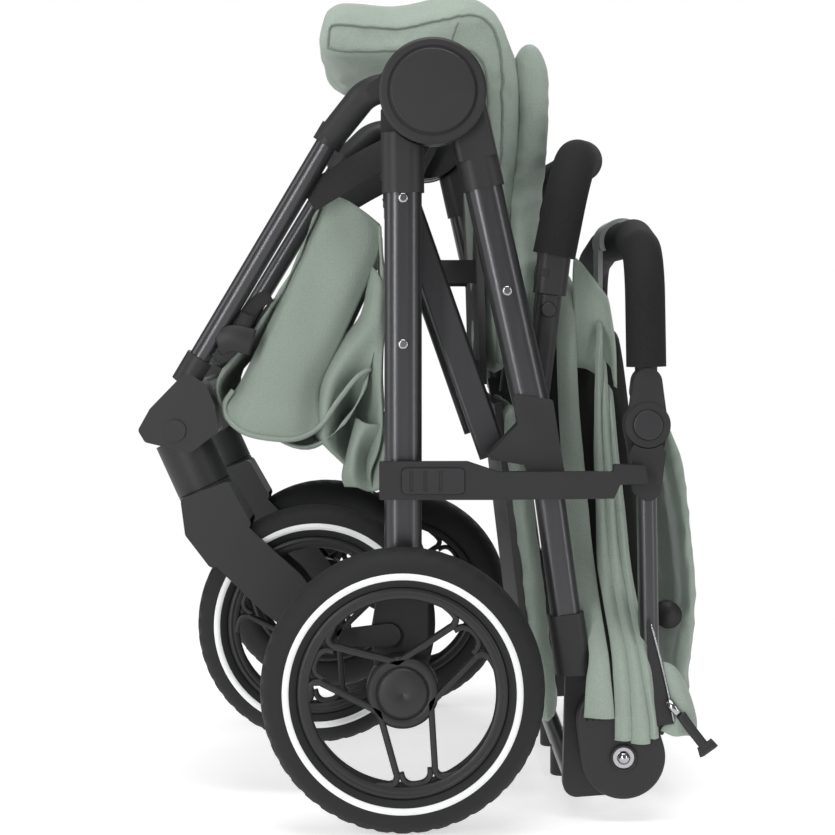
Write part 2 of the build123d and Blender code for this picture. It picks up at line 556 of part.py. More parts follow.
# ---------------------------------------------------------------- seat
def make_seat():
    span = SEAT_RAIL_Y
    rail = flat_bar(RAIL_TOP, RAIL_END, RAIL_WIDTH, span, 3.0)
    arm = link([(HUB[0], HUB[1], 17.0), (RAIL_TOP[0] + 3, RAIL_TOP[1] - 6, 12.0)], span)
    rail = rail + arm - through(HUB, CROSS_TUBE_R + RUNNING_GAP)
    NODES["seat_rails"] = both(rail)

    # the seat panel, a flat board on two rods between the rails
    board = plate([(47.0, 606.0), (53.0, 606.0), (60.0, 345.0), (54.0, 345.0)],
                  (-SEAT_HALF_WIDTH, SEAT_HALF_WIDTH))
    rods = []
    for share in (0.35, 0.72):
        spot = point_on(RAIL_TOP, RAIL_END, share)
        rods.append((spot, rod((spot[0], -span[0], spot[1]), (spot[0], span[0], spot[1]), 6.0)))
    for spot, bar in rods:
        board += bar
        rib = plate([(spot[0] + 2, spot[1] - 10), (58.0, spot[1] - 10), (58.0, spot[1] + 10),
                     (spot[0] + 2, spot[1] + 10)],
                    (100.0, 104.0))
        board += rib + mirrored(rib)
    clear = plate([(60.01, 345.0), (200, 345.0), (200, 640.0), (53.01, 640.0), (53.01, 606.0)],
                  (-300, 300))
    NODES["seat_board"] = [board - clear]

    half = SEAT_HALF_WIDTH
    pad = plate([(53.6, 604.0), (57.5, 655.0), (64.0, 664.0), (74.0, 658.0), (80.0, 640.0), (81.0, 560.0),
                 (74.0, 500.0), (76.0, 350.0), (61.0, 346.0)], (-half, half), 2.5)
    NODES["seat_pad"] = [pad]
    cushion = plate([(82.5, 560.0), (84.5, 630.0), (92.0, 640.0), (103.0, 638.0), (110.0, 606.0),
                     (104.0, 540.0),
                     (97.0, 470.0), (94.0, 400.0), (79.0, 400.0), (76.5, 480.0)], (-half + 6, half - 6),
                    2.5)
    NODES["seat_cushion"] = [cushion]

    rest = plate([(-83.0, 622.0), (-74.0, 616.5), (-20.0, 620.0), (30.0, 626.0), (50.5, 626.0),
                  (54.5, 662.0),
                  (20.0, 668.0), (-60.0, 667.0), (-79.0, 655.0)], (-half, half), 3.0)
    NODES["leg_rest"] = [rest]


def make_backrest():
    half = BACK_HALF_WIDTH
    board = plate([(66.0, 328.0), (72.0, 329.0), (104.0, 62.0), (98.0, 61.0)], (-half + 14, half - 14))
    NODES["backrest_board"] = [board]
    pad = plate([(73.0, 330.0), (86.0, 328.0), (96.0, 240.0), (117.0, 70.0), (112.0, 56.0),
                 (104.8, 60.0)],
                (-half, half), 2.0)
    NODES["backrest_pad"] = [pad]


# ---------------------------------------------------------------- canopy, basket
def make_canopy():
    half = CANOPY_HALF_WIDTH
    folds = plate([(123.0, 405.0), (131.0, 432.0), (142.0, 425.0), (158.0, 420.0), (163.0, 300.0),
                   (172.0, 180.0),
                   (186.0, 88.0), (158.0, 92.0), (132.0, 96.0), (127.0, 110.0), (124.0, 250.0)],
                  (-half, half), 3.0)
    NODES["canopy_folds"] = [folds]
    shell = plate([(166.0, 300.0), (200.0, 318.0), (214.0, 286.0), (227.0, 230.0), (232.0, 180.0),
                   (229.0, 130.0),
                   (220.0, 84.0), (206.0, 70.0), (188.0, 80.0), (176.0, 170.0)], (-half, half), 3.0)
    NODES["canopy_shell"] = [shell]


def make_basket():
    half = BASKET_HALF_WIDTH
    outline = [(-79.0, 488.0), (-30.0, 478.0), (-30.0, 420.0), (-40.0, 330.0), (-64.0, 300.0),
               (-97.0, 289.0),
               (-140.0, 314.0), (-160.0, 352.0), (-118.0, 405.0)]
    wall = 6.0
    outer = plate(outline, (-half, half), 6.0)
    hollow = [(-74.0, 520.0), (-38.0, 520.0), (-38.0, 418.0), (-48.0, 334.0), (-68.0, 308.0),
              (-97.0, 298.0),
              (-133.0, 320.0), (-149.0, 351.0), (-110.0, 405.0)]
    outer -= plate(hollow, (-half + wall, half - wall), 3.0)
    NODES["basket"] = [outer]


# ---------------------------------------------------------------- transport lock
def make_lock():
    low, high = LOCK_Z
    strap = plate([(LOCK_HINGE_X - 3, low), (LOCK_HINGE_X - 3, high), (40.0, high), (64.0, high - 8),
                   (155.0, high - 8),
                   (155.0, high - 2), (180.0, high - 3), (182.0, high - 17), (160.0, high - 18),
                   (155.0, low + 1),
                   (60.0, low)], LOCK_Y, 1.5)
    button_box = (-12.5, low + 4.5, 37.5, high - 4.5)
    recess = plate([(button_box[0], button_box[1]), (button_box[2], button_box[1]),
                    (button_box[2], button_box[3]),
                    (button_box[0], button_box[3])], (LOCK_Y[0] + 4, LOCK_Y[1] + 1), 4.0)
    lug = plate([(LOCK_HINGE_X - 3, low + 3), (LOCK_HINGE_X + 3, low + 3), (LOCK_HINGE_X + 3, high - 3),
                 (LOCK_HINGE_X - 3, high - 3)], (TUBE_MID + TUBE_DEPTH / 2 + 0.4, LOCK_Y[0] + 1), 1.0)
    NODES["lock_strap"] = [strap + lug - recess]
    gap = RUNNING_GAP
    button = plate([(button_box[0] + gap, button_box[1] + gap),
                    (button_box[2] - gap, button_box[1] + gap),
                    (button_box[2] - gap, button_box[3] - gap),
                    (button_box[0] + gap, button_box[3] - gap)],
                   (LOCK_Y[0] + 7.5, LOCK_Y[1] + 1.5), 3.8)
    for x in (-6.0, 5.0, 17.0):
        groove = plate([(x, low + 7), (x + 3.0, low + 7), (x + 3.0, high - 7), (x, high - 7)],
                       (LOCK_Y[1] + 0.4, LOCK_Y[1] + 3))
        button -= groove
    NODES["lock_button"] = [button]


# ---------------------------------------------------------------- assembly
def build():
    pin = make_hub()
    make_rear_frame(pin)
    make_brake()
    make_wheels()
    make_lower_bar(pin)
    make_bumper()
    make_upper_bar()
    make_handle()
    make_front_frame(pin)
    make_casters()
    make_seat()
    make_backrest()
    make_canopy()
    make_basket()
    make_lock()


build()
os.makedirs("parts", exist_ok=True)
for name, pieces in NODES.items():
    solids = [solid for piece in pieces for solid in piece.solids()]
    shape = solids[0] if len(solids) == 1 else Compound(children=solids)
    export_step(shape, f"parts/{name}.step")
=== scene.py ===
"""Looks for a compact folding stroller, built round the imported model."""
import json
from math import cos, hypot, pi, radians, sin

import bmesh
import bpy
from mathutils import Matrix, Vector, noise
from mathutils.bvhtree import BVHTree
from mathutils.kdtree import KDTree


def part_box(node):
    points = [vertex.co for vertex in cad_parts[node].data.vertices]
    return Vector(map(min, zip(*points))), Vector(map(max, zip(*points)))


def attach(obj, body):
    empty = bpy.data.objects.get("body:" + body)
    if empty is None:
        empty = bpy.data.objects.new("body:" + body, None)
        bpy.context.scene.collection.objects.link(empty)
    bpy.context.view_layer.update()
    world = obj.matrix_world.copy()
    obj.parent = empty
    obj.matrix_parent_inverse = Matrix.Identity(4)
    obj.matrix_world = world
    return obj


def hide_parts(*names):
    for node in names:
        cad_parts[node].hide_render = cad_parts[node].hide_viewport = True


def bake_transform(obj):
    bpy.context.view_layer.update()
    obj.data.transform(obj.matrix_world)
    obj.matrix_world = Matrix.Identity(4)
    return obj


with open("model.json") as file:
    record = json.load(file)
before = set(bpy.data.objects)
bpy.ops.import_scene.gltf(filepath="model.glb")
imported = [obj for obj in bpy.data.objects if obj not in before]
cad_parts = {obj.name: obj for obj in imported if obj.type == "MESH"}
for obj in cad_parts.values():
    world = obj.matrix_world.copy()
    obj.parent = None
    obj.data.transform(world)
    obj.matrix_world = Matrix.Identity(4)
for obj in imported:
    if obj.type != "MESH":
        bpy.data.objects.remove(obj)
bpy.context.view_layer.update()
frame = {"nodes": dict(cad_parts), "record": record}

MM = 0.001
SEAT_HALF = 139.0
CUSHION_HALF = 133.0
BACK_HALF = 157.0
CANOPY_HALF = 171.0
BASKET_HALF = 137.0
CLOTH_THICK = 1.5
CAMERA = (-0.020, -1.885, 0.4033)
FRAME_MIDDLE = 0.3233
FRAME_WIDTH = 0.6513
LENS, SENSOR = 89.5, 36.0
SIDES = (("left", -1.0), ("right", 1.0))


# ---------------------------------------------------------------- materials
def principled(name, colour, rough, metal=0.0, **sockets):
    mat = bpy.data.materials.new(name)
    mat.use_nodes = True
    nodes, links = mat.node_tree.nodes, mat.node_tree.links
    shader = nodes["Principled BSDF"]
    shader.inputs["Base Color"].default_value = (*colour, 1.0)
    shader.inputs["Roughness"].default_value = rough
    shader.inputs["Metallic"].default_value = metal
    for key, value in sockets.items():
        shader.inputs[key.replace("_", " ")].default_value = value
    place = nodes.new("ShaderNodeTexCoord")
    return mat, nodes, links, shader, place


def tint(nodes, links, shader, factor, low, high, mix_with=None):
    """Colour between two tones, driven by a 0-1 output."""
    mix = nodes.new("ShaderNodeMix")
    mix.data_type = "RGBA"
    links.new(factor, mix.inputs[0])
    if mix_with is None:
        mix.inputs[6].default_value = (*low, 1.0)
    else:
        mix.blend_type = "MULTIPLY"
        links.new(mix_with, mix.inputs[6])
    mix.inputs[7].default_value = (*high, 1.0)
    links.new(mix.outputs[2], shader.inputs["Base Color"])
    return mix.outputs[2]


def add_noise(nodes, links, place, scale, detail=3.0, stretch=(1, 1, 1)):
    mapping = nodes.new("ShaderNodeMapping")
    mapping.inputs["Scale"].default_value = stretch
    links.new(place.outputs["Object"], mapping.inputs["Vector"])
    tex = nodes.new("ShaderNodeTexNoise")
    tex.inputs["Scale"].default_value = scale
    tex.inputs["Detail"].default_value = detail
    links.new(mapping.outputs["Vector"], tex.inputs["Vector"])
    return tex.outputs["Fac"]


def add_bump(nodes, links, shader, height, strength, distance=0.001, below=None):
    bump = nodes.new("ShaderNodeBump")
    bump.inputs["Strength"].default_value = strength
    bump.inputs["Distance"].default_value = distance
    links.new(height, bump.inputs["Height"])
    if below is not None:
        links.new(below, bump.inputs["Normal"])
    links.new(bump.outputs["Normal"], shader.inputs["Normal"])
    return bump.outputs["Normal"]


def vary_rough(nodes, links, shader, factor, low, high):
    span = nodes.new("ShaderNodeMapRange")
    span.inputs["To Min"].default_value = low
    span.inputs["To Max"].default_value = high
    links.new(factor, span.inputs["Value"])
    links.new(span.outputs["Result"], shader.inputs["Roughness"])


def scaled(colour, share):
    return tuple(c * share for c in colour)


def make_fabric(name, colour, pitch=0.0011):
    """Woven cloth: crossed threads, heathered yarn, broad soft tone changes."""
    mat, nodes, links, shader, place = principled(name, colour, 0.86, Sheen_Weight=0.22, Sheen_Roughness=0.45,
                                                  Specular_IOR_Level=0.25)
    waves = []
    for turn in ((0, 0, 0), (0, radians(90), 0), (0, 0, radians(90))):
        mapping = nodes.new("ShaderNodeMapping")
        mapping.inputs["Rotation"].default_value = turn
        links.new(place.outputs["Object"], mapping.inputs["Vector"])
        wave = nodes.new("ShaderNodeTexWave")
        wave.inputs["Scale"].default_value = 2 * pi / (20 * pitch)
        wave.inputs["Distortion"].default_value = 0.6
        links.new(mapping.outputs["Vector"], wave.inputs["Vector"])
        waves.append(wave.outputs["Fac"])
    total = waves[0]
    for wave in waves[1:]:
        join = nodes.new("ShaderNodeMath")
        join.operation = "ADD"
        links.new(total, join.inputs[0])
        links.new(wave, join.inputs[1])
        total = join.outputs[0]
    yarn = add_noise(nodes, links, place, 1400.0, 2.0)
    broad = add_noise(nodes, links, place, 14.0, 3.0)
    soft = tint(nodes, links, shader, broad, scaled(colour, 0.90), scaled(colour, 1.08))
    fleck = nodes.new("ShaderNodeMix")
    fleck.data_type = "RGBA"
    fleck.blend_type = "OVERLAY"
    fleck.inputs[0].default_value = 0.28
    links.new(soft, fleck.inputs[6])
    grey = nodes.new("ShaderNodeCombineColor")
    for channel in range(3):
        links.new(yarn, grey.inputs[channel])
    links.new(grey.outputs[0], fleck.inputs[7])
    links.new(fleck.outputs[2], shader.inputs["Base Color"])
    first = add_bump(nodes, links, shader, total, 0.22, 0.0004)
    add_bump(nodes, links, shader, add_noise(nodes, links, place, 70.0, 4.0), 0.25, 0.0012, first)
    return mat


def make_tube_metal():
    colour = (0.075, 0.075, 0.079)
    mat, nodes, links, shader, place = principled("anodised_tube", colour, 0.3, 0.8)
    grain = add_noise(nodes, links, place, 220.0, 3.0, (1, 1, 0.06))
    tint(nodes, links, shader, grain, scaled(colour, 0.92), scaled(colour, 1.08))
    vary_rough(nodes, links, shader, grain, 0.27, 0.33)
    add_bump(nodes, links, shader, grain, 0.02, 0.0001)
    return mat


def make_plastic(name, colour, rough=0.48, grain_strength=0.22):
    mat, nodes, links, shader, place = principled(name, colour, rough, Specular_IOR_Level=0.38)
    spark = add_noise(nodes, links, place, 1300.0, 2.0)
    broad = add_noise(nodes, links, place, 30.0, 3.0)
    tint(nodes, links, shader, broad, scaled(colour, 0.85), scaled(colour, 1.15))
    vary_rough(nodes, links, shader, broad, rough - 0.06, rough + 0.08)
    add_bump(nodes, links, shader, spark, grain_strength, 0.0003)
    return mat


def make_metal(name, colour, rough):
    mat, nodes, links, shader, place = principled(name, colour, rough, 1.0)
    turned = add_noise(nodes, links, place, 500.0, 2.0, (1, 0.1, 1))
    tint(nodes, links, shader, turned, scaled(colour, 0.85), scaled(colour, 1.1))
    vary_rough(nodes, links, shader, turned, rough - 0.04, rough + 0.08)
    add_bump(nodes, links, shader, turned, 0.04, 0.0002)
    return mat


NEAR_BLACK = (0.010, 0.010, 0.011)


def make_rubber():
    colour = NEAR_BLACK
    mat, nodes, links, shader, place = principled("tyre_rubber", colour, 0.68, Specular_IOR_Level=0.35)
    dust = add_noise(nodes, links, place, 60.0, 4.0)
    tint(nodes, links, shader, dust, scaled(colour, 0.8), scaled(colour, 1.5))
    vary_rough(nodes, links, shader, dust, 0.6, 0.8)
    add_bump(nodes, links, shader, add_noise(nodes, links, place, 900.0, 2.0), 0.15, 0.0003)
    return mat


def make_foam():
    colour = NEAR_BLACK
    mat, nodes, links, shader, place = principled("closed_cell_foam", colour, 0.85, Specular_IOR_Level=0.3)
    cells = nodes.new("ShaderNodeTexVoronoi")
    cells.inputs["Scale"].default_value = 900.0
    links.new(place.outputs["Object"], cells.inputs["Vector"])
    tint(nodes, links, shader, cells.outputs["Distance"], scaled(colour, 0.75), scaled(colour, 1.35))
    add_bump(nodes, links, shader, cells.outputs["Distance"], 0.35, 0.0006)
    return mat


def make_webbing():
    colour = (0.018, 0.018, 0.019)
    mat, nodes, links, shader, place = principled("black_webbing", colour, 0.8, Sheen_Weight=0.15,
                                                  Sheen_Roughness=0.4)
    wave = nodes.new("ShaderNodeTexWave")
    wave.inputs["Scale"].default_value = 240.0
    wave.bands_direction = "DIAGONAL"
    links.new(place.outputs["Object"], wave.inputs["Vector"])
    tint(nodes, links, shader, wave.outputs["Fac"], scaled(colour, 0.7), scaled(colour, 1.4))
    add_bump(nodes, links, shader, wave.outputs["Fac"], 0.3, 0.0004)
    return mat


SAGE = (0.296, 0.350, 0.303)
FABRIC = make_fabric("sage_cloth", SAGE)
# painted shade: near-black cloth for the hood's inner sheet, standing in for the shade seen between the
# hood's strips
SHADE_BLACK_CLOTH = make_fabric("painted_shade_lining", (0.012, 0.014, 0.012))
PIPING = make_fabric("sage_piping", scaled(SAGE, 0.62), 0.0008)
TUBE = make_tube_metal()
PLASTIC = make_plastic("charcoal_plastic", (0.019, 0.019, 0.020))
BUTTON = make_plastic("button_plastic", (0.024, 0.024, 0.026), 0.4)
RIM = make_plastic("rim_plastic", (0.018, 0.018, 0.019), 0.4)
GREY = make_plastic("grey_plastic", (0.33, 0.35, 0.35), 0.35, 0.1)
BOARD = make_plastic("board", (0.05, 0.05, 0.05), 0.6)
STEEL = make_metal("turned_steel", (0.55, 0.55, 0.56), 0.22)
RIVET = make_metal("dark_chrome", (0.42, 0.42, 0.44), 0.12)
TYRE = make_rubber()
WHITE = make_plastic("white_ring", (0.82, 0.83, 0.83), 0.45, 0.08)
FOAM = make_foam()
WEBBING = make_webbing()

SLOT_LOOKS = {"frame_tube": TUBE, "frame_plastic": PLASTIC, "button_plastic": BUTTON, "steel": STEEL,
              "rivet": RIVET, "tyre": TYRE, "rim": RIM, "grip_foam": FOAM, "trigger": GREY, "board": BOARD,
              "green_fabric": FABRIC}


def dress_nodes():
    for row in frame["record"]["subparts"]:
        obj = frame["nodes"][row["node"]]
        look = SLOT_LOOKS[row["material_slot"]]
        if not obj.material_slots:
            obj.data.materials.append(look)
        for place in obj.material_slots:
            place.material = look


# ---------------------------------------------------------------- mesh helpers
def new_object(name, mesh, material, smooth=True):
    obj = bpy.data.objects.new(name, mesh)
    bpy.context.scene.collection.objects.link(obj)
    mesh.materials.append(material)
    if smooth:
        for face in mesh.polygons:
            face.use_smooth = True
    return obj


def mesh_of(name, points, faces, material, slot_name="green_fabric", smooth=True):
    mesh = bpy.data.meshes.new(name)
    mesh.from_pydata([(x * MM, y * MM, z * MM) for x, y, z in points], [], faces)
    tidy = bmesh.new()
    tidy.from_mesh(mesh)
    bmesh.ops.recalc_face_normals(tidy, faces=tidy.faces)
    tidy.to_mesh(mesh)
    tidy.free()
    return new_object(name, mesh, material, smooth)


def bake(obj):
    """Apply the modifiers by swapping in the evaluated mesh."""
    graph = bpy.context.evaluated_depsgraph_get()
    mesh = bpy.data.meshes.new_from_object(obj.evaluated_get(graph), depsgraph=graph)
    obj.modifiers.clear()
    obj.data = mesh
    for face in mesh.polygons:
        face.use_smooth = True


def modifier(obj, kind, **values):
    mod = obj.modifiers.new(kind.lower(), kind)
    for key, value in values.items():
        setattr(mod, key, value)
    return mod


def spline(points, per_span=6, closed=False):
    """Points on a Catmull-Rom curve through the given ones."""
    pts = [Vector(p) for p in points]
    count = len(pts)
    out = []
    spans = count if closed else count - 1
    for i in range(spans):
        if closed:
            a, b, c, d = (pts[(i + k) % count] for k in (-1, 0, 1, 2))
        else:
            b, c = pts[i], pts[i + 1]
            a = pts[i - 1] if i else b * 2 - c
            d = pts[i + 2] if i + 2 < count else c * 2 - b
        for k in range(per_span):
            t = k / per_span
            out.append(0.5 * ((2 * b) + (c - a) * t + (2 * a - 5 * b + 4 * c - d) * t * t
                              + (3 * b - a - 3 * c + d) * t ** 3))
    if not closed:
        out.append(pts[-1])
    return out


def loop_faces(count, size, closed):
    """Faces between neighbouring loops of points, with a cap at each end if open."""
    faces = []
    for i in range(count if closed else count - 1):
        j = (i + 1) % count
        for k in range(size):
            m = (k + 1) % size
            faces.append((i * size + k, i * size + m, j * size + m, j * size + k))
    if not closed:
        faces.append(tuple(range(size)))
        faces.append(tuple((count - 1) * size + k for k in range(size)))
    return faces


def tube_mesh(name, line, radius, material, slot_name, sides=10, closed=False, flat=1.0):
    """A round cord along a line; flat under 1 squeezes it across."""
    line = [Vector(p) for p in line]
    count = len(line)
    points = []
    up = Vector((0, 1, 0))
    for i, here in enumerate(line):
        ahead = line[(i + 1) % count] if closed or i + 1 < count else here
        behind = line[i - 1] if closed or i else here
        along = (ahead - behind).normalized()
        side = along.cross(up)
        if side.length < 0.2:
            side = along.cross(Vector((1, 0, 0)))
        side.normalize()
        top = side.cross(along)
        for k in range(sides):
            turn = 2 * pi * k / sides
            points.append(here + side * (radius * cos(turn)) + top * (radius * flat * sin(turn)))
    return mesh_of(name, points, loop_faces(count, sides, closed), material, slot_name)


def patch(name, rows, material=None, per_span=5, thick=CLOTH_THICK, slot_name="green_fabric"):
    """A smooth cloth surface through rows of control points."""
    fine_rows = [spline(row, per_span) for row in rows]
    columns = [spline([row[i] for row in fine_rows], per_span) for i in range(len(fine_rows[0]))]
    height, width = len(columns[0]), len(columns)
    points = [columns[j][i] for i in range(height) for j in range(width)]
    faces = [(i * width + j, i * width + j + 1, (i + 1) * width + j + 1, (i + 1) * width + j)
             for i in range(height - 1) for j in range(width - 1)]
    obj = mesh_of(name, points, faces, material or FABRIC, slot_name)
    area = sum(face.area for face in obj.data.polygons)
    across = max(sum((a - b).length for a, b in zip(line, line[1:]))
                 for line in ([columns[j][i] for j in range(width)] for i in range(height)))
    down = max(sum((a - b).length for a, b in zip(line, line[1:])) for line in columns)
    if thick:
        modifier(obj, "SOLIDIFY", thickness=thick * MM, offset=0.0)
        bake(obj)
    return obj, (across * MM, down * MM), area


def cloth_piece(name, body, rows, material=None, per_span=5, replaces=()):
    obj, flat, area = patch(name, rows, material, per_span)
    if body:
        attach(obj, body)
    if replaces:
        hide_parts(*replaces)
    return obj


def on_side(rows, sign):
    """Rows drawn for the right side, mirrored when the sign is negative."""
    return [[(x, sign * y, z) for x, y, z in row] for row in rows]


def offset_outline(outline, distance):
    """Move a closed XZ outline outwards."""
    count = len(outline)
    area = sum(outline[i - 1][0] * outline[i][1] - outline[i][0] * outline[i - 1][1] for i in range(count))
    sign = 1.0 if area > 0 else -1.0
    out = []
    for i in range(count):
        (x0, z0), (x1, z1) = outline[i - 1], outline[(i + 1) % count]
        length = hypot(x1 - x0, z1 - z0) or 1.0
        out.append((outline[i][0] + sign * (z1 - z0) / length * distance,
                    outline[i][1] - sign * (x1 - x0) / length * distance))
    return out


def rounded(outline, per_span=6):
    return [(p[0], p[1]) for p in spline([(x, z, 0) for x, z in outline], per_span, closed=True)]


# share of the half width, and how far the outline is drawn in (or let out) there
PILLOW_STATIONS = ((1.0, 1.0), (0.985, 0.62), (0.96, 0.3), (0.92, 0.08), (0.88, 0.0), (0.6, -0.6),
                   (0.3, -0.9), (0.0, -1.0))


def pillow_shape(name, outline, half, edge, crown):
    """A closed pad: an XZ outline run across Y, its rim rolled in."""
    ring = rounded(outline)
    stations = [(share * half, -(edge if inset > 0 else crown) * inset) for share, inset in PILLOW_STATIONS]
    spans = [(-y, s) for y, s in stations] + [(y, s) for y, s in reversed(stations[:-1])]
    points = []
    for y, shift in spans:
        points += [(x, y, z) for x, z in offset_outline(ring, shift)]
    return mesh_of(name, points, loop_faces(len(spans), len(ring), False), FABRIC)


SWELL_FRAMES = 20


def inflate(obj, voxel, cap, pressure):
    """Even the mesh out, then let the cloth swell; movement is capped."""
    modifier(obj, "REMESH", mode="VOXEL", voxel_size=voxel * MM)
    bake(obj)
    modifier(obj, "SMOOTH", factor=0.5, iterations=4)
    bake(obj)
    start = [v.co.copy() for v in obj.data.vertices]
    cloth = modifier(obj, "CLOTH")
    cloth.settings.use_pressure = True
    cloth.settings.uniform_pressure_force = pressure
    cloth.settings.effector_weights.gravity = 0.0
    cloth.settings.quality = 5
    cloth.point_cache.frame_end = SWELL_FRAMES
    scene = bpy.context.scene
    for number in range(1, SWELL_FRAMES + 1):
        scene.frame_set(number)
    bake(obj)
    scene.frame_set(1)
    for vertex, before in zip(obj.data.vertices, start):
        moved = vertex.co - before
        if moved.length > cap * MM:
            vertex.co = before + moved.normalized() * (cap * MM)
    modifier(obj, "SUBSURF", levels=1, render_levels=1)
    bake(obj)


def wrinkle(obj, amount, scale, stretch, where, seed):
    """Sculpted creases: ridged noise pushed along the surface."""
    mesh = obj.data
    normals = [v.normal.copy() for v in mesh.vertices]
    for vertex, normal in zip(mesh.vertices, normals):
        spot = Vector([c * s * scale for c, s in zip(vertex.co, stretch)]) + Vector((seed, seed, seed))
        ridge = 1.0 - abs(noise.noise(spot)) * 2.2
        weight = 1.0 if where is None else where(vertex.co / MM)
        vertex.co += normal * ((ridge - 0.5) * amount * MM * weight)


def on_surface(obj, points, lift=0.0):
    """Move points to the nearest place on a mesh."""
    tree = BVHTree.FromPolygons([v.co for v in obj.data.vertices],
                                [f.vertices[:] for f in obj.data.polygons])
    out = []
    for point in points:
        place, normal, _, _ = tree.find_nearest(Vector(point) * MM)
        out.append((place + normal * (lift * MM)) / MM)
    return out


def piping(name, obj, outline, distance, radius, closed=True, lift=0.3):
    """A welt cord along an outline at one distance from the middle."""
    line = spline([(x, distance, z) for x, z in outline], 5, closed)
    return tube_mesh(name, on_surface(obj, line, lift), radius, PIPING, "green_fabric", 8, closed)


def groove(obj, lines, depth, reach):
    """Pull the surface in along sewn lines."""
    spots = [Vector(p) * MM for line in lines for p in spline(line, 8)]
    tree = KDTree(len(spots))
    for i, spot in enumerate(spots):
        tree.insert(spot, i)
    tree.balance()
    normals = [v.normal.copy() for v in obj.data.vertices]
    for vertex, normal in zip(obj.data.vertices, normals):
        _, _, gap = tree.find(vertex.co)
        if gap < reach * MM:
            share = 1.0 - gap / (reach * MM)
            vertex.co -= normal * (depth * MM * share * share)


# ---------------------------------------------------------------- soft goods
SEAT_L = [(-84, 630), (-82, 648), (-74, 657), (-50, 657), (-20, 655), (10, 660), (34, 665), (52, 666),
          (68, 656), (78, 636), (83, 600), (83, 550), (79, 510), (76, 470), (76, 420), (76, 370),
          (70, 352), (62, 358), (60, 420), (56, 500), (53, 570), (51, 604), (42, 618), (10, 619),
          (-30, 617), (-62, 617), (-80, 621)]
CROWN_START, CROWN_REACH, CROWN_RISE = 635.0, 20.0, 12.0
SIDE_SEAM = [(36, 650), (33, 640), (30, 628), (29, 616)]


def drape_weight(spot):
    """Creases are deeper on the side panels than on the broad faces."""
    return min(1.0, max(0.0, (abs(spot.y) - 118.0) / 20.0)) + 0.2


def crown_top(obj):
    """The leg rest's top stands higher along its middle."""
    for vertex in obj.data.vertices:
        spot = vertex.co / MM
        share = min(1.0, max(0.0, (spot.z - CROWN_START) / CROWN_REACH))
        across = max(0.0, 1.0 - (spot.y / (SEAT_HALF - 6.0)) ** 2)
        vertex.co.z += CROWN_RISE * MM * share * across ** 0.5


def make_seat_cover():
    cover = pillow_shape("seat_cover", SEAT_L, SEAT_HALF, 9.0, 3.0)
    inflate(cover, 5.0, 5.0, 3.0)
    crown_top(cover)
    wrinkle(cover, 1.8, 22.0, (0.9, 0.35, 0.6), drape_weight, 3.1)
    wrinkle(cover, 0.7, 60.0, (1.6, 0.5, 1.0), drape_weight, 9.4)
    seam_line = offset_outline(rounded(SEAT_L, 2), -8.0)
    for side, sign in SIDES:
        welt = piping(f"seat_welt_{side}", cover, seam_line, sign * (SEAT_HALF + 1), 1.2)
        stitch = piping(f"seat_side_seam_{side}", cover, SIDE_SEAM, sign * (SEAT_HALF + 2), 0.8,
                        closed=False, lift=0.0)
        for cord in (welt, stitch):
            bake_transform(cord)
    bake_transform(cover)
    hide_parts("seat_pad", "leg_rest")


CUSHION = [(87, 560), (87, 615), (90, 632), (97, 637), (105, 630), (110, 606), (108, 545), (102, 480),
           (94, 404), (83, 404), (83, 480)]


def make_seat_cushion():
    pad = pillow_shape("seat_cushion_cover", CUSHION, CUSHION_HALF, 5.0, 2.0)
    inflate(pad, 4.5, 4.0, 4.0)
    seam = [[(98, y, 640) for y in (-120, -60, 0, 60, 120)]]
    groove(pad, seam, 2.0, 9.0)
    channels = [[(106, y, 600), (101, y, 540), (95, y, 470), (93, y, 410)] for y in (-66, 0, 66)]
    groove(pad, channels, 2.4, 12.0)
    wrinkle(pad, 1.2, 34.0, (1, 0.6, 1.4), None, 5.2)
    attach(pad, "seat")
    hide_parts("seat_cushion")


BACKREST = [(76, 326), (85, 325), (90, 285), (96, 235), (107, 150), (116, 75), (112, 60), (105, 62),
            (98, 120), (88, 210), (78, 290)]


def make_backrest_cover():
    pad = pillow_shape("backrest_cover", BACKREST, BACK_HALF, 4.0, 1.5)
    inflate(pad, 5.0, 4.0, 3.0)
    channels = [[(88, y, 300), (97, y, 235), (108, y, 150), (116, y, 80)] for y in (-80, 0, 80)]
    groove(pad, channels, 2.4, 12.0)
    wrinkle(pad, 1.4, 30.0, (1, 0.6, 1.2), None, 1.7)
    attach(pad, "backrest")
    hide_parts("backrest_pad")


# the folded hood: at each height, where its strips begin and end
PLEATS = {432: (117, 131, 153, 156, 160, 163), 380: (117, 132, 151, 155, 159, 163),
          340: (118, 133, 148, 152, 158, 163), 280: (121, 139, 148, 156, 162, 168),
          206: (127, 146, 150, 159, 169, 176), 140: (138, 151, 155, 166, 175, 184),
          110: (134, 153, 157, 168, 179, 187), 80: (132, 156, 157, 170, 184, 191)}
FLARE_TOP, FLARE_FULL, FLARE_OUT = 200.0, 122.0, 72.0
HOOD_CORNER = 46.0
SHADE_SHEET_HALF = 152.0


def pleat_edges(height):
    levels = sorted(PLEATS)
    height = min(max(height, levels[0]), levels[-1])
    for low, high in zip(levels, levels[1:]):
        if low <= height <= high:
            share = (height - low) / (high - low)
            return [a + (b - a) * share for a, b in zip(PLEATS[low], PLEATS[high])]


def flare(height):
    """How far the hem stands out, to pass over the folding hinge."""
    share = min(1.0, max(0.0, (FLARE_TOP - height) / (FLARE_TOP - FLARE_FULL)))
    return FLARE_OUT * share * share * (3 - 2 * share)


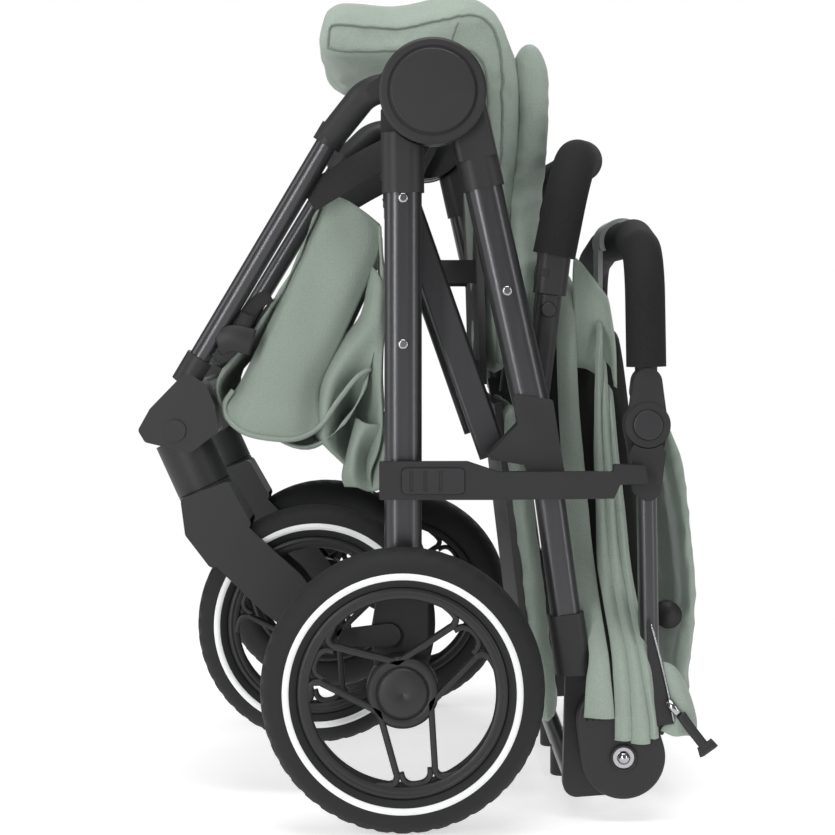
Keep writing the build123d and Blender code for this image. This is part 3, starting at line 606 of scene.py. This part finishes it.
def arch_path(half, top, foot):
    """Up the left side, across and down the right, with round corners."""
    corner = HOOD_CORNER
    heights = [foot + rise for rise in (0, 14, 30, 50, 75, 105, 140, 190)] + [top - 110]
    path = [(-half - flare(z), z) for z in heights]
    path += [(-half + 1, top - corner), (-half + corner * 0.3, top - corner * 0.3), (-half + corner, top),
             (-half * 0.4, top + 2), (0, top + 3)]
    return path + [(-y, z) for y, z in reversed(path[:-1])]


def ride_hood(obj):
    """Bake the piece's placement into its mesh; the piece is left unattached."""
    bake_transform(obj)


def hood_strip(name, first, last, top, foot):
    """One band of the folded hood, from one crease to the next."""
    depth, bulge = 12.0, 2.0
    rows = []
    for y, z in arch_path(CANOPY_HALF, top, foot):
        edges = pleat_edges(z)
        a, b = edges[first], edges[last]
        side = 1.0 if y > 0 else -1.0
        level = 1.0 if abs(y) < CANOPY_HALF - 20 else 0.0
        row = []
        for x, inset in ((a + 1, depth), (a, depth * 0.3), (a + 1.0, 1.0), ((a + b) / 2, -bulge),
                         (b - 1.5, 0.5), (b, depth * 0.3), (b - 1, depth)):
            row.append((x, y - side * inset * (1 - level), z - inset * level))
        rows.append(row)
    strip = cloth_piece(name, None, rows, per_span=3)
    wrinkle(strip, 1.0, 14.0, (2.0, 0.6, 0.7), None, 1.7 + first)
    ride_hood(strip)


def make_shade_lining():
    """A black sheet inside the hood, put where the gaps between its strips are dark with shade: painted
    shade.
    """
    rows = []
    rise = [(-SHADE_SHEET_HALF, 92), (-SHADE_SHEET_HALF, 150), (-SHADE_SHEET_HALF, 250), (-SHADE_SHEET_HALF, 330),
            (-SHADE_SHEET_HALF + 10, 372), (-SHADE_SHEET_HALF + 40, 388)]
    for y, z in rise + [(0, 392)] + [(-y, z) for y, z in reversed(rise)]:
        left, right = 130 + (432 - z) * 0.03, 166 + (432 - z) * 0.11
        rows.append([(left, y, z), ((left + right) / 2, y, z + 4), (right, y, z)])
    # painted shade: the black sheet makes the gaps between the hood strips dark
    cloth_piece("canopy_shade_sheet", "canopy", rows, SHADE_BLACK_CLOTH, per_span=4)
    peak = [
        [(131, 160, 452), (138, 161, 446), (147, 160, 434), (155, 158, 424), (160, 156, 418)],
        [(130, 164, 432), (139, 160, 426), (148, 152, 416), (157, 150, 408), (163, 152, 404)],
        [(131, 166, 400), (141, 156, 396), (151, 146, 388), (160, 146, 380), (167, 150, 376)],
        [(133, 166, 360), (143, 156, 358), (153, 150, 352), (162, 150, 346), (168, 152, 342)],
    ]
    for side, sign in SIDES:
        cloth_piece(f"canopy_peak_{side}", "canopy", on_side(peak, sign))


def make_canopy():
    hood_strip("canopy_strip_front", 0, 1, 436.0, 84.0)
    hood_strip("canopy_strip_second", 2, 3, 404.0, 66.0)
    hood_strip("canopy_strip_third", 3, 4, 372.0, 64.0)
    hood_strip("canopy_strip_rear", 4, 5, 352.0, 68.0)
    make_shade_lining()
    for side, sign in SIDES:
        flap = cloth_piece(f"canopy_flap_{side}", None, on_side(FLAP, sign))
        ride_hood(flap)
        make_zip(side, sign)


FLAP = [
    [(192, 236, 126), (197, 239, 128), (204, 238, 124), (210, 230, 116)],
    [(194, 238, 116), (200, 242, 118), (208, 241, 114), (215, 232, 106)],
    [(198, 239, 102), (205, 243, 103), (213, 241, 100), (220, 230, 92)],
    [(201, 239, 88), (208, 243, 86), (216, 240, 84), (223, 228, 78)],
    [(193, 240, 74), (203, 243, 70), (213, 239, 70), (222, 226, 66)],
]
ZIP_TAPE = [[(182, 238, 160), (185, 240, 160)], [(183, 239, 128), (193, 240, 127)],
            [(186, 241, 98), (199, 242, 100)], [(190, 242, 78), (203, 243, 80)]]


def make_zip(side, sign):
    """Tape, teeth, slider and a plastic puller with a bar at its end."""
    def cord(part, line, radius, material, slot_name, sides, flat=1.0, per_span=None):
        line = [(x, sign * y, z) for x, y, z in line]
        line = spline(line, per_span) if per_span else line
        return tube_mesh(f"canopy_zip_{part}_{side}", line, radius, material, slot_name, sides, flat=flat)

    for piece in (
            cloth_piece(f"canopy_zip_tape_{side}", None, on_side(ZIP_TAPE, sign),
                        WEBBING),
            cord("teeth", [(185.5, 240.8, 158), (193.5, 241, 127), (199.5, 243, 100), (203, 243.6, 82)],
                 0.9, RIVET, "rivet", 6, per_span=8),
            cord("slider", [(198, 245, 98), (203, 246, 92), (209, 246, 86)], 3.0, RIVET, "rivet", 8, 0.5),
            cord("puller", [(208, 247, 88), (215, 247.5, 78), (222, 247.5, 69), (229, 247, 60)],
                 4.0, PLASTIC, "frame_plastic", 10, 0.45, 6),
            cord("bar", [(222, 247, 58), (224, 247.2, 58.6), (233, 247.2, 65), (234.5, 247, 66.4)],
                 4.2, PLASTIC, "frame_plastic", 10, 0.6)):
        ride_hood(piece)


VISOR = [(207, 311), (214, 297), (220, 278), (224.5, 245), (227.5, 215), (231.5, 170), (229.5, 136),
         (226, 103), (225, 70), (219, 70), (214, 107), (217.5, 136), (225, 166), (221, 216), (215, 254),
         (204, 300)]


def make_visor():
    visor = pillow_shape("canopy_visor", VISOR, CANOPY_HALF, 1.5, 0.5)
    inflate(visor, 4.0, 2.0, 2.0)
    wrinkle(visor, 1.0, 40.0, (1.5, 0.5, 1.0), None, 2.2)
    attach(visor, "canopy")
    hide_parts("canopy_folds", "canopy_shell")


BASKET_PATH = [(-64, 509), (-80, 497), (-106, 438), (-140, 384), (-166, 350), (-164, 328), (-148, 314),
               (-124, 302), (-98, 292), (-76, 298), (-56, 318), (-42, 345), (-33, 385), (-28, 425),
               (-30, 478)]
BASKET_DROP = 6.0
# the side pieces: X, distance past the basket's half width, Z
BASKET_SIDE = [
    [(-80, -12, 513), (-74, -3, 512), (-58, 0, 506), (-44, -1, 497), (-30, -6, 486)],
    [(-81, -12, 496), (-74, -3, 493), (-56, -1, 482), (-40, -2, 472), (-31, -9, 464)],
    [(-99, -10, 456), (-91, -1, 452), (-74, 1, 444), (-57, -1, 432), (-45, -12, 428)],
    [(-124, -10, 402), (-115, -1, 400), (-97, 2, 396), (-78, -1, 388), (-65, -14, 384)],
    [(-147, -10, 354), (-137, 0, 356), (-117, 3, 354), (-95, 0, 350), (-80, -16, 348)],
    [(-160, -4, 334), (-147, 3, 326), (-122, 6, 322), (-98, 4, 322), (-80, -10, 326)],
    [(-158, 1, 324), (-143, 3, 311), (-118, 4, 306), (-97, 3, 307), (-80, -4, 316)],
]
BASKET_FOLD = [
    [(-38, -12, 452), (-33, -4, 446), (-29, -2, 440), (-25, -6, 436)],
    [(-46, -16, 410), (-39, -2, 404), (-32, 0, 398), (-27, -4, 392)],
    [(-66, -22, 386), (-56, -2, 378), (-42, -12, 366), (-29, -2, 352)],
    [(-82, -26, 356), (-70, -3, 352), (-50, -40, 342), (-28, -3, 320)],
    [(-86, -24, 324), (-75, -2, 324), (-55, -52, 318), (-31, -5, 296)],
    [(-84, -20, 306), (-74, -6, 300), (-52, -40, 292), (-38, -8, 276)],
    [(-62, -24, 284), (-58, -12, 280), (-46, -12, 268), (-36, -10, 258)],
]
BASKET_TAIL = [
    [(-50, -12, 322), (-42, -2, 318), (-30, -4, 316), (-24, -10, 314)],
    [(-57, -16, 296), (-50, -1, 298), (-38, -20, 292), (-26, -8, 294)],
    [(-62, -14, 274), (-53, 0, 276), (-40, -16, 272), (-27, -6, 280)],
    [(-60, -8, 264), (-50, -2, 264), (-38, -8, 260), (-28, -8, 262)],
]
BASKET_HEM = [(-154, -3, 346), (-161, -1, 334), (-158, 2, 322), (-143, 4, 310), (-118, 5, 305),
              (-97, 4, 306), (-80, 0, 316), (-66, -2, 336), (-50, -2, 356), (-38, -6, 364)]


def basket_rows(rows, sign):
    return on_side([[(x, BASKET_HALF + past, z - BASKET_DROP) for x, past, z in row] for row in rows], sign)


def make_basket():
    """A wrapped front, floor and back, with two side panels and their gathered folds."""
    rows = []
    for x, z in BASKET_PATH:
        sag = [(y, 1 - (y / 136.0) ** 2) for y in (-134, -100, -50, 0, 50, 100, 134)]
        rows.append([(x + share * (4 if x < -90 else -3), y, z - share * 5) for y, share in sag])
    wrap = cloth_piece("basket_wrap", "rear_frame", rows, per_span=4,
                       replaces=("basket",))
    wrinkle(wrap, 3.0, 16.0, (1, 0.5, 1.6), None, 4.4)
    for side, sign in SIDES:
        for part, shape, held in (("side", BASKET_SIDE, "hung"), ("fold", BASKET_FOLD, "gathered"),
                                  ("drop", BASKET_TAIL, "gathered")):
            cloth_piece(f"basket_{part}_{side}", "rear_frame", basket_rows(shape, sign),
                        per_span=6)
        hem = basket_rows([BASKET_HEM], sign)[0]
        rope = tube_mesh(f"basket_hem_{side}", spline(hem, 6), 2.2, FABRIC, "green_fabric")
        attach(rope, "rear_frame")


# ---------------------------------------------------------------- wheels
TREAD_STEPS = 176
TREAD_REACH, TREAD_DEPTH = 4.0, 1.3
BEAD_SHARE = {"rear": 0.737, "front": 0.742}
WHITE_RING = ((6.0, 0.90), (6.3, 1.0), (8.5, 1.02), (11.3, 1.0), (11.6, 0.90))


def box_mm(node):
    """A node's centre, outer radius and half width, in millimetres."""
    low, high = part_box(node)
    centre = [(a + b) / 2 / MM for a, b in zip(low, high)]
    return centre, (high[2] - low[2]) / 2 / MM, (high[1] - low[1]) / 2 / MM


def make_tyre(name, side, sign):
    """A tyre with a fine block tread and a white ring on the outer wall."""
    body = f"{name}_wheel_{side}"
    centre, radius, half = box_mm(f"{name}_tyre_{side}")
    bead = radius * BEAD_SHARE[name]
    profile = [(bead, -half * 0.72), (bead + 1, -half * 0.86), (bead + 6, -half * 0.96),
               (radius - 15, -half * 0.99), (radius - 8, -half * 0.9), (radius - 3.2, -half * 0.66),
               (radius - 1.2, -half * 0.5), (radius - 0.2, -half * 0.3), (radius, -half * 0.1)]
    profile = profile + [(r, -y) for r, y in reversed(profile)] + [(bead, 0.0)]
    points = []
    for i in range(TREAD_STEPS):
        turn = 2 * pi * i / TREAD_STEPS
        for r, y in profile:
            row = int((y / half + 1.0) * 4.0)
            if r > radius - TREAD_REACH and (i + row) % 4 == 0:
                r -= TREAD_DEPTH
            points.append((centre[0] + r * cos(turn), centre[1] + y, centre[2] + r * sin(turn)))
    tyre = mesh_of(f"{name}_tread_{side}", points, loop_faces(TREAD_STEPS, len(profile), True), TYRE, "tyre")
    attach(tyre, body)
    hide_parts(f"{name}_tyre_{side}")
    section = [(bead + past, centre[1] + sign * half * share) for past, share in WHITE_RING]
    ring = mesh_of(f"{name}_white_ring_{side}", *ring_mesh(centre, section, 128), WHITE, "tyre")
    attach(ring, body)


def ring_mesh(centre, profile, count):
    """Points and faces of a closed profile (radius, distance along Y) turned round an axle."""
    points = []
    for i in range(count):
        turn = 2 * pi * i / count
        for r, y in profile:
            points.append((centre[0] + r * cos(turn), y, centre[2] + r * sin(turn)))
    return points, loop_faces(count, len(profile), True)


def add_part(points, faces, more):
    shift = len(points)
    points += more[0]
    faces += [tuple(i + shift for i in face) for face in more[1]]


def bar_mesh(line, width, low, high):
    """A rounded bar lying in the wheel's plane, between two distances along Y."""
    line = [Vector(p) for p in line]
    points = []
    section = [(-0.5, low + 1.2), (-0.32, low), (0.32, low), (0.5, low + 1.2), (0.5, high - 1.8),
               (0.25, high), (-0.25, high), (-0.5, high - 1.8)]
    for i, here in enumerate(line):
        along = (line[min(i + 1, len(line) - 1)] - line[max(i - 1, 0)]).normalized()
        side = Vector((along.z, 0, -along.x))
        for share, y in section:
            spot = here + side * (share * width)
            points.append((spot.x, y, spot.z))
    return points, loop_faces(len(line), len(section), False)


def on_wheel(centre, radius, angle):
    return Vector((centre[0] + radius * cos(radians(angle)), 0, centre[2] + radius * sin(radians(angle))))


SPOKE_TURNS = (99.5, 219.5, 339.5)
SPOKE_SPREAD = 47.3
WEB_TURNS = (39.5, 159.5, 279.5)
WEB_PATH = ((13, -10.6), (7.5, -8.6), (4.2, -5), (3.4, 0), (4.2, 5), (7.5, 8.6), (13, 10.6))


def rib_path(centre, inner, hub_r, turn):
    """A V with straight arms: curled foot, arm, point on the drum, arm, curled foot."""
    point = on_wheel(centre, hub_r - 4.5, turn)
    path = []
    for way in (-1, 1):
        foot = turn + way * SPOKE_SPREAD
        bend = on_wheel(centre, inner - 8.5, foot)
        arm = [on_wheel(centre, inner - depth, foot - way * a)
               for depth, a in ((0.5, 13.0), (2.4, 6.5), (5.0, 1.8))]
        arm += [bend.lerp(point, share) for share in (0.04, 0.12, 0.5, 0.86, 0.95)]
        path += arm if way < 0 else arm[::-1]
        if way < 0:
            path.append(point)
    return path


def make_rim(name, side, out, hub_r, cap_r, rib):
    """A stepped barrel, three V-shaped ribs with curved feet, a drum and a cap."""
    low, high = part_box(f"{name}_rim_{side}")
    centre, bead, _ = box_mm(f"{name}_rim_{side}")
    tyre_centre, _, half = box_mm(f"{name}_tyre_{side}")
    middle = tyre_centre[1]
    inner = bead - 6.0
    face = high[1] / MM if out > 0 else low[1] / MM
    rim_face = middle + out * half * 0.86
    hub_face = face - out * 2.4
    y_low, y_high = sorted((hub_face - out * 9.0, hub_face))
    points, faces = [], []
    barrel = [(bead + 0.4, middle - half * 0.8), (bead - 2.5, middle - half * 0.84),
              (inner, middle - half * 0.7), (inner, middle + half * 0.7),
              (bead - 2.5, middle + half * 0.84), (bead + 0.4, middle + half * 0.8)]
    add_part(points, faces, ring_mesh(centre, barrel, 128))
    lip = [(bead - 1.0, rim_face - out * 1.2), (inner - 2.0, rim_face - out * 2.2),
           (inner - 3.2, rim_face - out * 5.0), (inner - 2.6, rim_face - out * 9.0),
           (inner + 1.0, rim_face - out * 10.0)]
    add_part(points, faces, ring_mesh(centre, lip, 128))
    back = middle - out * (half * 0.55)
    drum = [(8.0, back), (hub_r - 2.0, back), (hub_r, back + out * 2.0), (hub_r, hub_face - out * 2.2),
            (hub_r - 2.4, hub_face), (cap_r + 1.4, hub_face), (cap_r + 1.0, hub_face - out * 1.4),
            (cap_r + 0.2, hub_face - out * 1.4), (cap_r - 0.2, hub_face + out * 0.6),
            (cap_r - 1.6, hub_face + out * 2.0), (cap_r * 0.5, hub_face + out * 2.4),
            (0.05, hub_face + out * 2.4), (0.05, back)]
    add_part(points, faces, ring_mesh(centre, drum, 72))
    for turn in SPOKE_TURNS:
        path = rib_path(centre, inner, hub_r, turn)
        add_part(points, faces, bar_mesh(spline(path, 7), rib, y_low, y_high))
    for turn in WEB_TURNS:
        web = [on_wheel(centre, inner - depth, turn + a) for depth, a in WEB_PATH]
        add_part(points, faces, bar_mesh(spline(web, 6), 4.5, y_low + 1.0, y_high - 1.0))
    rim = mesh_of(f"{name}_spoked_rim_{side}", points, faces, RIM, "rim")
    modifier(rim, "BEVEL", width=0.0004, segments=1, limit_method="ANGLE")
    bake(rim)
    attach(rim, f"{name}_wheel_{side}")
    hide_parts(f"{name}_rim_{side}")


def make_wheels():
    for name in ("rear", "front"):
        for side, sign in SIDES:
            make_tyre(name, side, sign)
    for name, hub_r, cap_r, rib in (("rear", 28.0, 19.5, 5.0), ("front", 24.0, 16.0, 4.6)):
        for side, sign in SIDES:
            make_rim(name, side, sign, hub_r, cap_r, rib)


# ---------------------------------------------------------------- small fittings
HINGE_X, HINGE_Z = 163.7, 52.3
BALL_R = 5.6


def make_fittings():
    """Straps, buckles, tabs and pins that show on the frame."""
    for side, sign in SIDES:
        def strap(name, line, width, thick, material=WEBBING, slot_name="green_fabric"):
            piece = ribbon(f"{name}_{side}", [(x, sign * y, z) for x, y, z in line], width, thick, material,
                           slot_name)
            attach(piece, "front_frame")

        strap("front_band", [(-90, 152, 500), (-70, 154, 512), (-45, 156, 527), (-18, 158, 541)], 24.0, 2.2)
        strap("basket_buckle", [(-166, 150, 380), (-152, 151, 384), (-136, 150, 380)], 22.0, 6.0, PLASTIC,
              "frame_plastic")
        strap("basket_buckle_loop", [(-141, 149, 404), (-146, 150, 392), (-154, 151, 374), (-168, 150, 366)],
              11.0, 3.0)
        strap("basket_strap", [(-150, 147, 392), (-135, 144, 412), (-122, 142, 420)], 12.0, 1.6)
        ball = tube_mesh(f"hinge_ball_{side}", dome((HINGE_X, sign * 239.0, HINGE_Z), sign, BALL_R), 1.0,
                         RIVET, "rivet", 20)
        shape_dome(ball, (HINGE_X, HINGE_Z), sign, BALL_R)
        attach(ball, "upper_bar")
        ring = tube_mesh(f"hinge_ring_{side}", circle((HINGE_X, sign * 240.4, HINGE_Z), 9.6, 40), 0.9,
                         PLASTIC, "frame_plastic", 8, closed=True)
        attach(ring, "upper_bar")
        clamp = tube_mesh(f"canopy_clamp_{side}", [(206, sign * 176, 158), (206, sign * 190, 158)], 11.0,
                          PLASTIC, "frame_plastic", 32)
        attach(clamp, "canopy")


def circle(centre, radius, count):
    turns = [2 * pi * i / count for i in range(count)]
    return [(centre[0] + radius * cos(t), centre[1], centre[2] + radius * sin(t)) for t in turns]


def dome(centre, sign, radius):
    """Stations from the base of a round head to its tip."""
    return [(centre[0], centre[1] + sign * radius * sin(radians(a)), centre[2])
            for a in range(0, 91, 10)]


def shape_dome(obj, axis, sign, radius):
    """Turn a straight tube round an X, Z axis into a round head by its distance along Y."""
    base = min(v.co.y * sign for v in obj.data.vertices) / MM
    for vertex in obj.data.vertices:
        along = min(1.0, (vertex.co.y * sign / MM - base) / radius)
        across = Vector((vertex.co.x / MM - axis[0], 0, vertex.co.z / MM - axis[1]))
        reach = radius * max(0.02, 1.0 - along * along) ** 0.5
        if across.length > 1e-6:
            across = across.normalized() * reach
        vertex.co = Vector((axis[0] + across.x, vertex.co.y / MM, axis[1] + across.z)) * MM


def ribbon(name, line, width, thick, material, slot_name="green_fabric"):
    """A flat strap whose broad face looks sideways."""
    line = spline(line, 6)
    points = []
    section = [(-0.5, -0.3), (-0.47, -0.5), (0.47, -0.5), (0.5, -0.3), (0.5, 0.3), (0.47, 0.5),
               (-0.47, 0.5), (-0.5, 0.3)]
    for i, here in enumerate(line):
        along = (line[min(i + 1, len(line) - 1)] - line[max(i - 1, 0)]).normalized()
        side = along.cross(Vector((0, 1, 0))).normalized()
        normal = along.cross(side)
        for across, deep in section:
            points.append(here + side * (across * width) + normal * (deep * thick))
    return mesh_of(name, points, loop_faces(len(line), len(section), False), material, slot_name)


# ---------------------------------------------------------------- studio
def fade_to_white(nodes, links, shader, place):
    """The floor turns plain white away from the object."""
    reach = nodes.new("ShaderNodeVectorMath")
    reach.operation = "LENGTH"
    links.new(place.outputs["Object"], reach.inputs[0])
    share = nodes.new("ShaderNodeMapRange")
    share.interpolation_type = "SMOOTHSTEP"
    share.inputs["From Min"].default_value = FADE_FROM
    share.inputs["From Max"].default_value = FADE_TO
    links.new(reach.outputs["Value"], share.inputs["Value"])
    glow = nodes.new("ShaderNodeEmission")
    glow.inputs["Color"].default_value = (1.0, 1.0, 1.0, 1.0)
    mix = nodes.new("ShaderNodeMixShader")
    links.new(share.outputs["Result"], mix.inputs[0])
    links.new(shader.outputs[0], mix.inputs[1])
    links.new(glow.outputs[0], mix.inputs[2])
    links.new(mix.outputs[0], nodes["Material Output"].inputs["Surface"])


# name, place, aim, power, width, height
LAMPS = (("key", (-1.0, -2.1, 0.75), (0, 0, 0.35), 21.0, 0.3, 1.7),
         ("side", (-2.0, -0.3, 1.0), (0, 0, 0.35), 9.0, 0.8, 1.6),
         ("fill", (1.5, -1.5, 0.7), (0, 0, 0.35), 7.0, 0.25, 1.6),
         ("top", (0.0, -0.5, 2.1), (0, 0, 0.3), 25.0, 1.5, 1.2),
         ("back", (0.6, 1.9, 1.5), (0, 0, 0.35), 10.0, 1.6, 1.2))
FADE_FROM, FADE_TO = 0.35, 1.1


def make_studio():
    scene = bpy.context.scene
    scene.view_settings.view_transform = "Standard"
    scene.view_settings.look = "None"
    world = bpy.data.worlds.new("studio")
    scene.world = world
    world.use_nodes = True
    background = world.node_tree.nodes["Background"]
    background.inputs["Color"].default_value = (1.0, 1.0, 1.0, 1.0)
    background.inputs["Strength"].default_value = 0.22
    backdrop = world.node_tree.nodes.new("ShaderNodeBackground")
    backdrop.inputs["Color"].default_value = (1.0, 1.0, 1.0, 1.0)
    rays = world.node_tree.nodes.new("ShaderNodeLightPath")
    choose = world.node_tree.nodes.new("ShaderNodeMixShader")
    join = world.node_tree.links.new
    join(rays.outputs["Is Camera Ray"], choose.inputs[0])
    join(background.outputs[0], choose.inputs[1])
    join(backdrop.outputs[0], choose.inputs[2])
    join(choose.outputs[0], world.node_tree.nodes["World Output"].inputs["Surface"])

    size = 9.0
    mesh = bpy.data.meshes.new("floor")
    mesh.from_pydata([(-size, -size, 0), (size, -size, 0), (size, size, 0), (-size, size, 0)], [],
                     [(0, 1, 2, 3)])
    floor = bpy.data.objects.new("floor", mesh)
    scene.collection.objects.link(floor)
    mat, nodes, links, shader, place = principled("pale_floor", (0.7, 0.7, 0.7), 0.9, Emission_Strength=0.60,
                                                  Emission_Color=(1.0, 1.0, 1.0, 1.0))
    tint(nodes, links, shader, add_noise(nodes, links, place, 3.0), (0.69, 0.69, 0.69), (0.71, 0.71, 0.71))
    fade_to_white(nodes, links, shader, place)
    mesh.materials.append(mat)

    for name, spot, aim, power, width, height in LAMPS:
        lamp = bpy.data.lights.new(name, "AREA")
        lamp.shape = "RECTANGLE"
        lamp.size, lamp.size_y = width, height
        lamp.energy = power
        obj = bpy.data.objects.new(name, lamp)
        obj.location = spot
        obj.rotation_euler = (Vector(aim) - Vector(spot)).to_track_quat("-Z", "Y").to_euler()
        scene.collection.objects.link(obj)

    lens = bpy.data.cameras.new("camera")
    lens.lens = LENS
    lens.sensor_width = SENSOR
    lens.shift_x = -CAMERA[0] / FRAME_WIDTH
    lens.shift_y = (FRAME_MIDDLE - CAMERA[2]) / FRAME_WIDTH
    camera = bpy.data.objects.new("camera", lens)
    camera.location = CAMERA
    camera.rotation_euler = (radians(90), 0, 0)
    scene.collection.objects.link(camera)
    scene.camera = camera


dress_nodes()
make_studio()
make_wheels()
make_fittings()
make_seat_cover()
make_seat_cushion()
make_backrest_cover()
make_visor()
make_canopy()
make_basket()
